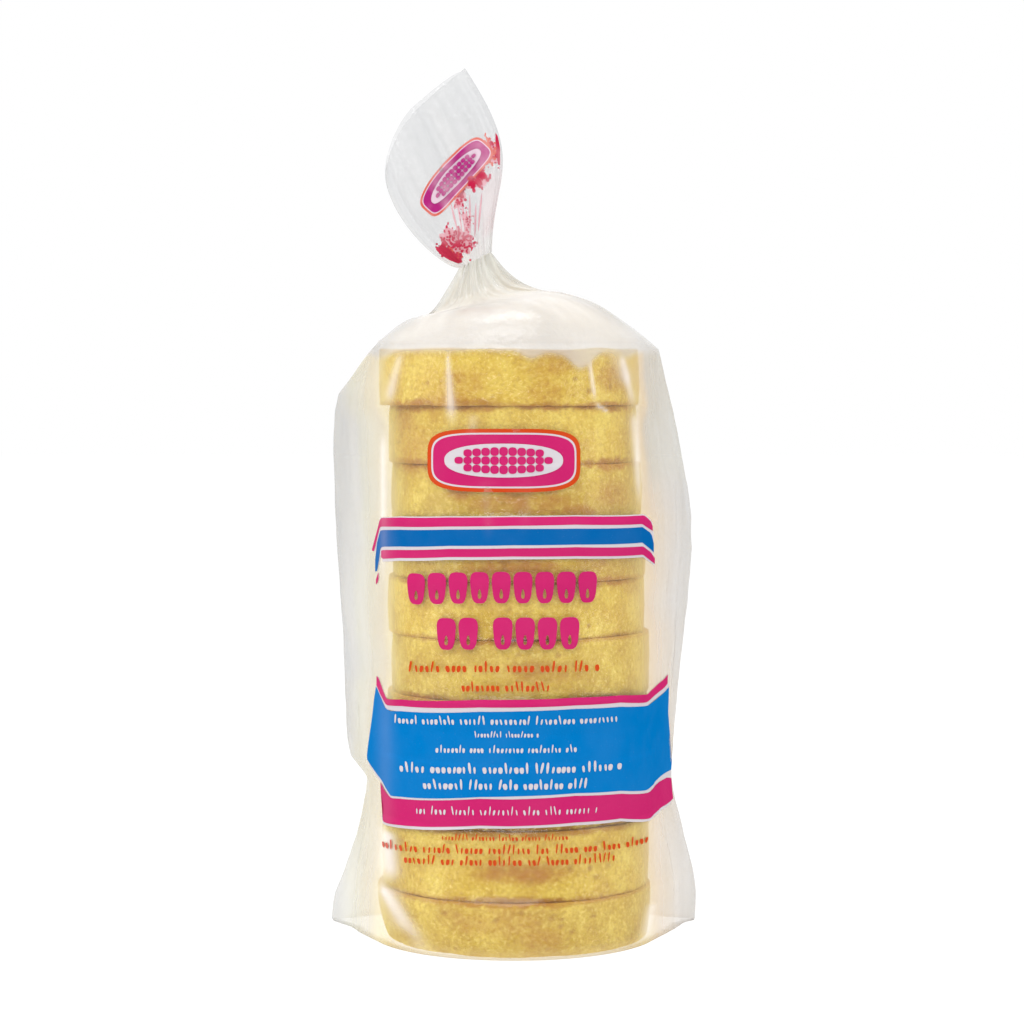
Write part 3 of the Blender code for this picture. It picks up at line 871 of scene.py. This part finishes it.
def shape(centre, outer, inner=None, tilt=0.0, lift=0.12, place=on_front, slide=(0.0, 0.0)):
    """A filled outline at `centre`, turned by `tilt`, or the band between two outlines. Rings
    0.5 mm apart or closer go inwards from the outer one, and `slide` moves the inner outline."""
    width = outer[0].max() - (0.0 if inner is None else inner[0].max())
    rings = 2 + int(width / 0.5)
    if inner is None:
        shares = np.linspace(0.0, 1.0, rings, endpoint=False)[:, None]
        x, z = outer[0] * (1.0 - shares), outer[1] * (1.0 - shares)
    else:
        shares = np.linspace(0.0, 1.0, rings)[:, None]
        x = outer[0] * (1.0 - shares) + (inner[0] + slide[0]) * shares
        z = outer[1] * (1.0 - shares) + (inner[1] + slide[1]) * shares
    turned_x = centre[0] + x * math.cos(tilt) - z * math.sin(tilt)
    turned_z = centre[1] + x * math.sin(tilt) + z * math.cos(tilt)
    points = place(turned_x, turned_z, lift)
    pole = place(np.array([[centre[0]]]), np.array([[centre[1]]]), lift)[0, 0] if inner is None else None
    return points, True, pole


# %% Stripes: x, height of the upper edge, height of the lower edge
UPPER_MAGENTA = (
    (-33.6, 92.9, 92.7), (-33.2, 94.3, 92.3), (-31.5, 100.1, 98.6), (-31.0, 100.6, 98.8),
    (-26.2, 101.1, 99.2), (-14.6, 101.7, 99.9), (0.0, 102.0, 100.3), (14.4, 102.0, 100.4),
    (30.4, 101.4, 99.7), (30.9, 101.4, 99.3), (32.3, 100.2, 98.3), (32.9, 99.4, 97.9), (33.1, 98.6, 97.8),
)
UPPER_BLUE = (
    (-32.8, 90.4, 87.8), (-32.7, 92.1, 87.7), (-32.2, 95.1, 88.1), (-31.3, 97.5, 93.5),
    (-30.7, 97.7, 94.0), (-26.2, 98.2, 94.5), (-14.6, 98.9, 95.4), (0.0, 99.3, 95.8),
    (14.4, 99.2, 95.8), (30.4, 98.7, 95.3), (32.4, 97.2, 93.6), (33.1, 96.1, 92.9), (33.4, 94.4, 92.6),
)
LOWER_LINE_OF_THREE = (
    (-31.1, 92.7, 91.4), (-30.8, 92.9, 91.1), (-26.2, 93.4, 91.8), (-14.6, 94.4, 92.8),
    (0.0, 94.8, 93.2), (14.4, 94.9, 93.1), (30.6, 94.1, 92.4), (32.6, 92.5, 90.7), (33.7, 90.9, 89.8),
)
STRAY_END = ((-32.6, 85.6, 84.8), (-32.3, 86.6, 84.9), (-31.9, 87.6, 86.2))
BAND_TOP_LINE = (
    (-32.6, 62.3, 60.4), (-32.3, 62.4, 60.0), (-31.7, 61.2, 58.9), (-30.2, 58.2, 56.6),
    (-29.6, 57.6, 56.4), (-26.2, 58.3, 57.0), (-7.6, 59.8, 58.3), (14.4, 60.1, 58.6),
    (25.1, 59.8, 58.4), (30.6, 59.1, 57.4), (31.6, 58.9, 57.3), (34.7, 60.4, 58.7), (37.0, 62.0, 60.0),
)
BLUE_BAND = (
    (-35.2, 42.5, 41.6), (-34.4, 47.5, 40.7), (-34.1, 49.5, 40.3), (-32.8, 59.7, 39.2),
    (-32.6, 59.9, 38.9), (-30.1, 55.2, 36.6), (-28.7, 55.0, 35.2), (-26.2, 55.5, 35.6),
    (-7.6, 57.0, 37.5), (0.0, 57.2, 37.8), (14.4, 57.5, 38.1), (25.1, 57.1, 37.5),
    (31.7, 56.1, 36.0), (34.3, 56.9, 36.4), (37.6, 58.8, 37.6), (38.1, 50.2, 37.8), (38.5, 39.6, 37.7),
)
MAGENTA_BAND = (
    (-31.8, 36.8, 35.0), (-31.7, 36.7, 32.6), (-31.6, 36.4, 29.2), (-31.2, 36.0, 28.4),
    (-28.6, 34.4, 28.7), (-26.6, 34.8, 29.0), (-7.6, 36.8, 30.9), (0.0, 36.8, 30.9),
    (14.4, 37.2, 31.3), (25.1, 36.5, 31.0), (32.3, 34.9, 29.2), (37.6, 35.9, 29.8), (39.0, 35.0, 30.6),
)
WHITE_LINES = (
    ((-31.4, 100.8, 100.4), (-26.2, 101.5, 101.0), (-14.6, 102.1, 101.6), (0.0, 102.4, 101.9),
     (14.4, 102.4, 101.9), (30.9, 101.8, 101.3), (32.4, 100.6, 100.1), (33.1, 99.5, 98.6)),
    ((-32.8, 94.0, 91.4), (-31.4, 98.5, 97.1), (-30.7, 98.8, 97.7), (-26.2, 99.2, 98.2),
     (-14.6, 99.9, 98.9), (0.0, 100.3, 99.3), (14.4, 100.4, 99.2), (30.4, 99.7, 98.6),
     (32.4, 98.2, 97.2), (33.1, 97.8, 96.0), (33.4, 97.3, 94.4)),
    ((-31.9, 91.5, 89.1), (-31.1, 93.6, 92.7), (-30.7, 94.0, 92.9), (-26.2, 94.5, 93.4),
     (-14.6, 95.4, 94.4), (0.0, 95.8, 94.8), (14.4, 95.8, 94.9), (30.6, 95.2, 94.1), (33.4, 92.6, 91.7)),
    ((-30.8, 91.1, 90.3), (-26.2, 91.8, 91.0), (-14.6, 92.8, 92.0), (0.0, 93.2, 92.4),
     (14.3, 93.1, 92.4), (30.6, 92.4, 91.7), (33.7, 89.8, 89.3)),
    ((-32.7, 60.4, 59.4), (-30.1, 56.6, 55.2), (-26.2, 57.0, 55.5), (-7.6, 58.3, 57.0),
     (14.4, 58.6, 57.5), (25.1, 58.4, 57.1), (31.5, 57.3, 56.2), (34.8, 58.7, 57.5), (37.3, 60.0, 58.7)),
    ((-34.8, 41.7, 40.2), (-32.3, 38.6, 37.7), (-28.7, 35.3, 34.4), (-26.1, 35.6, 34.8),
     (-7.6, 37.5, 36.7), (14.4, 38.1, 37.2), (25.1, 37.5, 36.5), (32.3, 36.1, 34.9), (39.0, 37.8, 36.0)),
    ((-31.8, 29.9, 28.7), (-31.5, 28.4, 27.7), (-28.6, 28.8, 28.0), (-7.6, 31.0, 30.1),
     (14.4, 31.3, 30.5), (25.2, 31.0, 30.2), (32.4, 29.3, 28.5), (37.8, 29.8, 29.1), (38.6, 30.3, 29.7)),
)

# %% Badge: an oval with a corn cob on it
BADGE_MIDDLE = (-2.1, 115.1)


def badge(centre, tilt, size, place, lift, step):
    """The patches of the badge, by ink: an orange rim, a white line, a magenta field, a white
    oval and, on that, a cob of kernels. `size` scales its length and its height, and `step` is
    how far each layer lies over the one below."""
    long, tall = size

    def around(half_x, half_z, power=0.48, taper=0.0):
        return outline(half_x * long, half_z * tall, power, taper, 72)

    def at(x, z):
        x, z = x * long, z * tall
        return (
            centre[0] + x * math.cos(tilt) - z * math.sin(tilt),
            centre[1] + x * math.sin(tilt) + z * math.cos(tilt),
        )

    same = {"tilt": tilt, "place": place}
    patches = {
        "ink_orange": [shape(centre, around(17.6, 7.3), around(16.7, 6.4), lift=lift, **same)],
        "ink_white": [
            shape(centre, around(16.7, 6.4), around(16.3, 6.0), lift=lift, **same),
            shape(centre, around(13.6, 3.9, 0.85), lift=lift + step, **same),
        ],
        "ink_magenta": [shape(centre, around(16.3, 6.0), lift=lift, **same)],
    }
    for row, half_count in ((-1, 4), (0, 5), (1, 4)):
        for column in range(-half_count, half_count + 1):
            spot = at(column * 2.05, row * 2.1 * (1.0 - 0.012 * column**2))
            kernel = around(0.98, 1.03 - 0.045 * abs(column), 0.8)
            patches["ink_magenta"].append(shape(spot, kernel, lift=lift + 2.0 * step, **same))
    return patches


# %% Rows of kernels and grains
def kernels(x_start, x_end, middle, height, count, gap_after=()):
    """A row of big corn kernels, each a tapered ring round a lighter germ. An empty place
    follows each kernel listed in `gap_after`."""
    places = count + 0.55 * len(gap_after)
    pitch = (x_end - x_start) / places
    x = x_start + pitch / 2.0
    patches = []
    for k in range(count):
        outer = outline(0.42 * pitch, height / 2.0, 0.60, 0.16, 36)
        germ = outline(0.075 * pitch, height * 0.15, 0.9, -0.35, 36)
        centre = (x, middle + droop(x))
        patches.append(shape(centre, outer, germ, lift=0.12, slide=(0.0, -0.20 * height)))
        x += pitch * (1.55 if k in gap_after else 1.0)
    return patches


def grains(x_start, x_end, middle, height, seed, boldness=1.0):
    """A row of small upright grains in groups of three to nine, some tall and some short."""
    draw = np.random.default_rng(seed)
    pitch = 0.42 * height
    x, patches = x_start + pitch / 2.0, []
    while x < x_end:
        for _ in range(int(draw.integers(3, 10))):
            if x > x_end:
                break
            tall, wide = height * draw.choice(((0.28, 0.021), (0.27, 0.036), (0.46, 0.020), (0.26, 0.034)))
            grain = outline(4.2 * wide * boldness * draw.uniform(0.85, 1.1), tall, 0.8, 0.1, 14)
            spot = (x, middle + droop(x) - (0.5 * height - tall))
            patches.append(shape(spot, grain, tilt=draw.uniform(-0.25, 0.25), lift=0.26))
            x += pitch * draw.uniform(0.9, 1.15)
        x += 0.9 * pitch
    return patches


def droop(x):
    """How far the level lines of the print sag towards the left and the right."""
    return -1.6 * (x / 27.0) ** 2 if x < 0.0 else -0.5 * (x / 27.0) ** 2


inks = badge(BADGE_MIDDLE, 0.0, (1.0, 1.0), on_front, 0.12, 0.10)
inks["ink_blue"] = [strip(BLUE_BAND)]
inks["ink_deep_blue"] = [strip(UPPER_BLUE)]
inks["ink_white"] += [strip(edges, lift=0.12, spread=0.0) for edges in WHITE_LINES]
inks["ink_magenta"] += [strip(edges) for edges in (
    UPPER_MAGENTA, LOWER_LINE_OF_THREE, STRAY_END, BAND_TOP_LINE, MAGENTA_BAND
)]
inks["ink_magenta"] += kernels(-25.0, 19.7, 85.9, 7.3, 9)
inks["ink_magenta"] += kernels(-17.9, 15.6, 75.3, 7.4, 6, gap_after=(1,))
inks["ink_orange"] += grains(-24.5, 20.4, 67.8, 3.0, 1)
inks["ink_orange"] += grains(-11.9, 9.4, 63.2, 2.7, 2)
inks["ink_orange"] += grains(-16.5, 13.5, 28.3, 1.8, 3)
inks["ink_orange"] += grains(-31.2, 32.1, 25.6, 2.6, 4)
inks["ink_orange"] += grains(-25.5, 24.1, 22.9, 2.6, 5)
inks["ink_white"] += grains(-28.0, 25.0, 55.4, 2.4, 6)
inks["ink_white"] += grains(-8.9, 6.2, 52.1, 1.7, 7)
inks["ink_white"] += grains(-17.9, 14.7, 48.7, 2.1, 8)
inks["ink_white"] += grains(-26.6, 25.0, 44.3, 2.8, 9, 1.2)
inks["ink_white"] += grains(-20.9, 17.7, 40.5, 2.7, 10, 1.2)
inks["ink_white"] += grains(-22.7, 20.0, 34.4, 2.3, 11, 0.8)


# %% The rest of the printed face, folded into the tail and crumpled at the neck
def dabs(x, z, half_x, half_z, tilt, count, seed, size=0.45):
    """A cloud of small dabs of ink round x, z on the tail, as print looks where the film that
    carries it is crushed: normally distributed in a box turned by `tilt`."""
    draw = np.random.default_rng(seed)
    patches = []
    for _ in range(count):
        across, along = np.clip(draw.normal(0.0, 0.45, 2), -1.0, 1.0) * (half_x, half_z)
        spot = (
            x + across * math.cos(tilt) - along * math.sin(tilt),
            z + across * math.sin(tilt) + along * math.cos(tilt),
        )
        dab = outline(size * draw.uniform(0.4, 1.1), size * draw.uniform(0.4, 1.4), 0.9, 0.0, 10)
        patches.append(shape(spot, dab, tilt=tilt + draw.uniform(-0.5, 0.5), lift=0.2, place=on_tail))
    return patches


def blot(x, z, half_x, half_z, tilt, seed, lift=0.12):
    """A soft-edged wash of thin ink round x, z on the tail: an ellipse whose radius is swelled
    by a few cosines of the angle."""
    draw = np.random.default_rng(seed)
    angle = np.linspace(0.0, 2.0 * math.pi, 60, endpoint=False)
    swell = 1.0 + sum(
        draw.uniform(-0.16, 0.16) * np.cos(n * angle + draw.uniform(0.0, 2.0 * math.pi)) for n in (2, 3, 5, 8)
    )
    edge = (half_x * swell * np.cos(angle), half_z * swell * np.sin(angle))
    return shape((x, z), edge, tilt=tilt, lift=lift, place=on_tail)


def painted_ink_highlight(place):
    """How pale the ink on the bag's face is made, a painted highlight: paler where a crease
    catches the light, and down its left edge, where the bag turns away."""
    _, crease_milk_and_highlight = crease_fields(place[:, 0], place[:, 2])
    return np.clip(0.30 * crease_milk_and_highlight + 0.05 * np.exp(-(((place[:, 0] + 30.5) / 2.2) ** 2)), 0.0, 0.5)


def crushed(place):
    """How pale the ink on the tail looks: patchy, and paler right of the badge."""
    patchy = rough_field(place, 2.6, 51, 2)
    spread_out = smooth_step(165.0, 168.0, place[:, 2])
    return np.clip(0.03 + 0.10 * spread_out + 0.32 * patchy * spread_out, 0.0, 0.7)


tail_inks = badge((-13.0, 181.3), math.radians(49.0), (0.62, 0.46), on_tail, 0.30, 0.25)
tail_inks["ink_crimson"] = [
    strip(edges, lift=0.22, spread=0.0, step=0.3, place=on_tail) for edges in (
        ((-18.3, 165.2, 164.6), (-17.0, 165.3, 163.3), (-15.0, 164.5, 162.1), (-13.0, 163.3, 161.4),
         (-12.2, 162.6, 161.7)),
        ((-4.1, 192.6, 190.6), (-3.5, 191.6, 184.6), (-3.0, 188.8, 185.0)),
        ((-17.3, 167.6, 167.3), (-16.0, 166.6, 165.8), (-15.4, 166.0, 165.5)),
    )
]
tail_inks["ink_blush"] = [
    blot(-13.0, 166.6, 3.9, 2.6, -0.30, 61),
    blot(-8.6, 181.0, 2.9, 2.3, 0.30, 62),
    blot(-12.2, 176.4, 1.1, 2.8, -0.25, 63),
    blot(-10.9, 170.6, 0.8, 2.6, 0.10, 64),
    blot(-4.9, 187.8, 1.0, 3.4, 0.12, 65),
]
tail_inks["ink_crimson"] += dabs(-15.2, 164.0, 3.4, 1.5, -0.42, 60, 31, 0.40)
tail_inks["ink_crimson"] += dabs(-12.9, 166.4, 4.2, 3.2, -0.30, 150, 32, 0.30)
tail_inks["ink_crimson"] += dabs(-8.5, 181.2, 3.3, 2.7, 0.25, 110, 33, 0.46)
tail_inks["ink_crimson"] += dabs(-12.2, 176.6, 1.4, 3.2, -0.25, 40, 34, 0.34)
tail_inks["ink_crimson"] += dabs(-10.6, 171.5, 1.6, 4.4, 0.05, 40, 35, 0.20)
tail_inks["ink_blush"] += [
    shape((x, z), outline(0.22, half_height, 1.2, 0.0, 24), tilt=tilt, lift=0.14, place=on_tail)
    for x, z, half_height, tilt in (
        (-13.6, 171.8, 3.4, 0.20), (-12.4, 172.8, 4.6, 0.12), (-11.4, 171.4, 5.2, 0.06),
        (-10.0, 172.6, 4.8, -0.02), (-8.8, 171.6, 4.0, -0.06), (-7.7, 173.4, 4.6, -0.12),
    )
]
tail_inks["ink_crimson"] += dabs(-5.0, 187.6, 1.3, 3.6, 0.10, 40, 36, 0.32)
tail_inks["ink_orange"] += dabs(-5.4, 188.0, 1.5, 3.6, 0.10, 60, 37, 0.40)
tail_inks["ink_orange"] += dabs(-14.4, 163.9, 2.4, 1.0, -0.42, 24, 38, 0.30)

print("patches of print:", {ink: len(patches) for ink, patches in inks.items()})
print("and on the tail:", {ink: len(patches) for ink, patches in tail_inks.items()})
prints = {
    ink.replace("ink_", "print_"): lay_patches(ink.replace("ink_", "print_"), patches, pale=painted_ink_highlight)
    for ink, patches in inks.items()
}
for ink, patches in tail_inks.items():
    name = ink.replace("ink_", "tail_print_")
    prints[name] = lay_patches(name, patches, pale=crushed)


# %% [markdown]
# ## Finishes
#
# The dough is dull and a little grainy, pale yellow with paler and darker patches, browner at
# the torn rims, partly from its crust and partly as painted shade in the seams. The film is three
# things at once: mostly a hole that shows what is behind it, partly a milky white that scatters
# light, and over both a gloss. How much of it is milky is the `milk` attribute, plus what comes
# from looking along the film, which is a Layer Weight. The milky part's colour, given per point,
# holds painted light and shade.

# %% Node helpers
def new_material(name):
    """An empty node material, with its node tree and output."""
    material = bpy.data.materials.new(name)
    material.use_nodes = True
    tree = material.node_tree
    tree.nodes.clear()
    return material, tree, tree.nodes.new("ShaderNodeOutputMaterial")


def noise(tree, scale, detail=3.0, roughness=0.6):
    """A noise texture on Object coordinates, `scale` waves a metre."""
    place = tree.nodes.new("ShaderNodeTexCoord")
    node = tree.nodes.new("ShaderNodeTexNoise")
    node.inputs["Scale"].default_value = scale
    node.inputs["Detail"].default_value = detail
    node.inputs["Roughness"].default_value = roughness
    tree.links.new(place.outputs["Object"], node.inputs["Vector"])
    return node.outputs["Fac"]


def ramp(tree, factor, *stops):
    """A colour ramp through (position, colour) stops."""
    node = tree.nodes.new("ShaderNodeValToRGB")
    while len(node.color_ramp.elements) < len(stops):
        node.color_ramp.elements.new(0.5)
    for element, (position, colour) in zip(node.color_ramp.elements, stops):
        element.position, element.color = position, (*colour, 1.0)
    tree.links.new(factor, node.inputs["Fac"])
    return node.outputs["Color"]


def blend(tree, factor, first, second):
    """A colour mix; `factor` and the colours are sockets or values."""
    node = tree.nodes.new("ShaderNodeMix")
    node.data_type = "RGBA"
    for socket, value in ((node.inputs["Factor"], factor), (node.inputs[6], first), (node.inputs[7], second)):
        if isinstance(value, bpy.types.NodeSocket):
            tree.links.new(value, socket)
        else:
            socket.default_value = value
    return node.outputs[2]


def arithmetic(tree, operation, first, second, clamp=False):
    """A Math node; each side is a socket or a number."""
    node = tree.nodes.new("ShaderNodeMath")
    node.operation, node.use_clamp = operation, clamp
    for socket, value in ((node.inputs[0], first), (node.inputs[1], second)):
        if isinstance(value, bpy.types.NodeSocket):
            tree.links.new(value, socket)
        else:
            socket.default_value = value
    return node.outputs[0]


def attribute(tree, name):
    """A point attribute of the piece, as a number."""
    node = tree.nodes.new("ShaderNodeAttribute")
    node.attribute_name = name
    return node.outputs["Fac"]


def bump(tree, height, depth):
    """A Bump node: `depth` metres from the lowest to the highest of `height`."""
    node = tree.nodes.new("ShaderNodeBump")
    node.inputs["Distance"].default_value = depth
    node.inputs["Strength"].default_value = 1.0
    tree.links.new(height, node.inputs["Height"])
    return node.outputs["Normal"]


# %% Corn dough
def corn_dough(name, brown):
    """Dull pale yellow dough. Clouds of a few sizes run from deeper to paler yellow, with fine
    grain, and the toasted places are browner. The rims are browner, partly the dough's own crust
    and partly painted shade in the seams, and the pits are browner as painted shade in the
    hollows. `brown`, from 0 to 1, deepens the whole disc a little."""
    material, tree, out = new_material(name)
    shade = 1.0 - 0.09 * brown
    clouds = ramp(
        tree, noise(tree, 130.0, 5.0, 0.62),
        (0.30, (0.56 * shade, 0.335 * shade, 0.030)),
        (0.48, (0.67 * shade, 0.455 * shade, 0.048)),
        (0.70, (0.78, 0.60, 0.105)),
    )
    crumbs = noise(tree, 1050.0, 3.0, 0.7)
    pale_crumbs = ramp(tree, crumbs, (0.54, (0.0, 0.0, 0.0)), (0.70, (0.7, 0.7, 0.7)))
    crumbly = blend(tree, pale_crumbs, clouds, (0.84, 0.69, 0.20, 1.0))
    toast = attribute(tree, "toast")
    grain = noise(tree, 1500.0, 2.0, 0.7)
    brown_crumbs = ramp(tree, crumbs, (0.34, (1.0, 1.0, 1.0)), (0.50, (0.0, 0.0, 0.0)))
    often = arithmetic(tree, "ADD", arithmetic(tree, "MULTIPLY", toast, 0.5), 0.50, clamp=True)
    speckled = blend(tree, arithmetic(tree, "MULTIPLY", brown_crumbs, often), crumbly, (0.47, 0.27, 0.035, 1.0))
    broken = ramp(tree, noise(tree, 420.0, 4.0, 0.7), (0.30, (0.50, 0.50, 0.50)), (0.55, (1.0, 1.0, 1.0)))
    warm = blend(tree, arithmetic(tree, "MULTIPLY", toast, broken), speckled, (0.455, 0.190, 0.022, 1.0))
    # Browner at the rims: partly real crust, partly painted shade of the seams.
    baked_and_shaded = arithmetic(tree, "MULTIPLY", attribute(tree, "crust"), broken)
    crusty = blend(tree, baked_and_shaded, warm, (0.43, 0.185, 0.016, 1.0))
    # Browner in the pits: painted shade of the hollows.
    colour = blend(tree, arithmetic(tree, "MULTIPLY", attribute(tree, "pit"), 0.7), crusty, (0.42, 0.21, 0.030, 1.0))
    shader = tree.nodes.new("ShaderNodeBsdfPrincipled")
    tree.links.new(colour, shader.inputs["Base Color"])
    shader.inputs["Roughness"].default_value = 0.62
    shader.inputs["Specular IOR Level"].default_value = 0.3
    shader.inputs["Subsurface Weight"].default_value = 0.12
    shader.inputs["Subsurface Radius"].default_value = (1.0, 0.6, 0.2)
    shader.inputs["Subsurface Scale"].default_value = 0.0015
    height = arithmetic(tree, "ADD", arithmetic(tree, "MULTIPLY", grain, 0.4), noise(tree, 600.0, 3.0))
    tree.links.new(bump(tree, height, 0.0006), shader.inputs["Normal"])
    tree.links.new(shader.outputs[0], out.inputs["Surface"])
    return material


dough = [corn_dough("corn dough", 0.0), corn_dough("deeper corn dough", 1.0)]
for k, piece in enumerate(tortillas):
    piece.data.materials.append(dough[1 if k in (0, 4, 6, 7) else 0])


# %% Clear film
def clear_film():
    """Transparent where it's clear, scattering where it's milky, glossy all over. The gloss is
    0.045 + 0.5 facing^5, close to Schlick's formula, and the same from inside the bag and outside."""
    material, tree, out = new_material("clear film")
    edge = tree.nodes.new("ShaderNodeLayerWeight")
    edge.inputs["Blend"].default_value = 0.5
    facing = edge.outputs["Facing"]
    grazing = arithmetic(tree, "MULTIPLY", arithmetic(tree, "POWER", facing, 4.0), 0.35)
    share = arithmetic(tree, "ADD", attribute(tree, "milk"), grazing, clamp=True)
    hole = tree.nodes.new("ShaderNodeBsdfTransparent")
    milky = tree.nodes.new("ShaderNodeBsdfPrincipled")
    # The milky colour read here holds painted light and shade: lit white, shaded grey, a dough glow and crease
    # highlights.
    tint = tree.nodes.new("ShaderNodeAttribute")
    tint.attribute_name = "tint"
    tree.links.new(tint.outputs["Color"], milky.inputs["Base Color"])
    milky.inputs["Roughness"].default_value = 0.5
    milky.inputs["Specular IOR Level"].default_value = 0.0
    crinkle = bump(tree, noise(tree, 420.0, 4.0), 0.0004)
    tree.links.new(crinkle, milky.inputs["Normal"])
    body = tree.nodes.new("ShaderNodeMixShader")
    tree.links.new(share, body.inputs[0])
    tree.links.new(hole.outputs[0], body.inputs[1])
    tree.links.new(milky.outputs[0], body.inputs[2])
    gloss = tree.nodes.new("ShaderNodeBsdfGlossy")
    gloss.inputs["Roughness"].default_value = 0.14
    gloss.inputs["Color"].default_value = (1.0, 1.0, 1.0, 1.0)
    tree.links.new(crinkle, gloss.inputs["Normal"])
    mirror = arithmetic(tree, "MULTIPLY", arithmetic(tree, "POWER", facing, 5.0), 0.5)
    mirror = arithmetic(tree, "MULTIPLY", arithmetic(tree, "ADD", mirror, 0.045), attribute(tree, "shine"))
    skin = tree.nodes.new("ShaderNodeMixShader")
    tree.links.new(mirror, skin.inputs[0])
    tree.links.new(body.outputs[0], skin.inputs[1])
    tree.links.new(gloss.outputs[0], skin.inputs[2])
    tree.links.new(skin.outputs[0], out.inputs["Surface"])
    return material


film = clear_film()
for piece in (bag, tail):
    piece.data.materials.append(film)


# %% Ink
def printed_ink(name, colour):
    """Flexographic ink on film: an even colour, a little paler in fine specks and in soft
    clouds, with no gloss of its own."""
    material, tree, out = new_material(name)
    paler = tuple(0.97 * value + 0.03 for value in colour)
    clouds = ramp(tree, noise(tree, 90.0, 2.0), (0.35, colour), (0.80, tuple(0.99 * c + 0.01 for c in colour)))
    specks = ramp(tree, noise(tree, 2600.0, 1.0), (0.68, (0, 0, 0)), (0.80, (1, 1, 1)))
    shader = tree.nodes.new("ShaderNodeBsdfPrincipled")
    speckled = blend(tree, specks, clouds, (*paler, 1.0))
    # The pale attribute mixes in a pale pink: on the bag's face a painted highlight, on the tail the patchy paleness
    # of the crushed print.
    paled_and_highlit = blend(tree, attribute(tree, "pale"), speckled, (0.80, 0.66, 0.70, 1.0))
    tree.links.new(paled_and_highlit, shader.inputs["Base Color"])
    shader.inputs["Roughness"].default_value = 0.45
    shader.inputs["Specular IOR Level"].default_value = 0.0
    tree.links.new(bump(tree, noise(tree, 420.0, 4.0), 0.0002), shader.inputs["Normal"])
    tree.links.new(shader.outputs[0], out.inputs["Surface"])
    return material


# Each ink's slot and colour. The tail's magenta is seen through its own film, so it's more
# purple, and where magenta and orange are crushed together they make a crimson.
INKS = {
    "print_magenta": ("ink_magenta", (0.51, 0.018, 0.130)),
    "print_blue": ("ink_blue", (0.0005, 0.165, 0.475)),
    "print_deep_blue": ("ink_blue", (0.0010, 0.110, 0.355)),
    "print_white": ("ink_white", (0.58, 0.54, 0.57)),
    "print_orange": ("ink_orange", (0.56, 0.060, 0.012)),
    "tail_print_magenta": ("ink_magenta", (0.40, 0.020, 0.185)),
    "tail_print_crimson": ("ink_magenta", (0.50, 0.014, 0.060)),
    "tail_print_blush": ("ink_magenta", (0.66, 0.33, 0.38)),
    "tail_print_white": ("ink_white", (0.66, 0.50, 0.60)),
    "tail_print_orange": ("ink_orange", (0.62, 0.120, 0.080)),
}
for name, piece in prints.items():
    slot, colour = INKS[name]
    piece.data.materials.append(printed_ink(name.replace("_", " "), colour))

# %% Riding on the frame
for piece in tortillas:
    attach(piece, "root")
for piece in (bag, tail):
    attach(piece, "root")
for name, piece in prints.items():
    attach(piece, "root")
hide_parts("filled_bag")
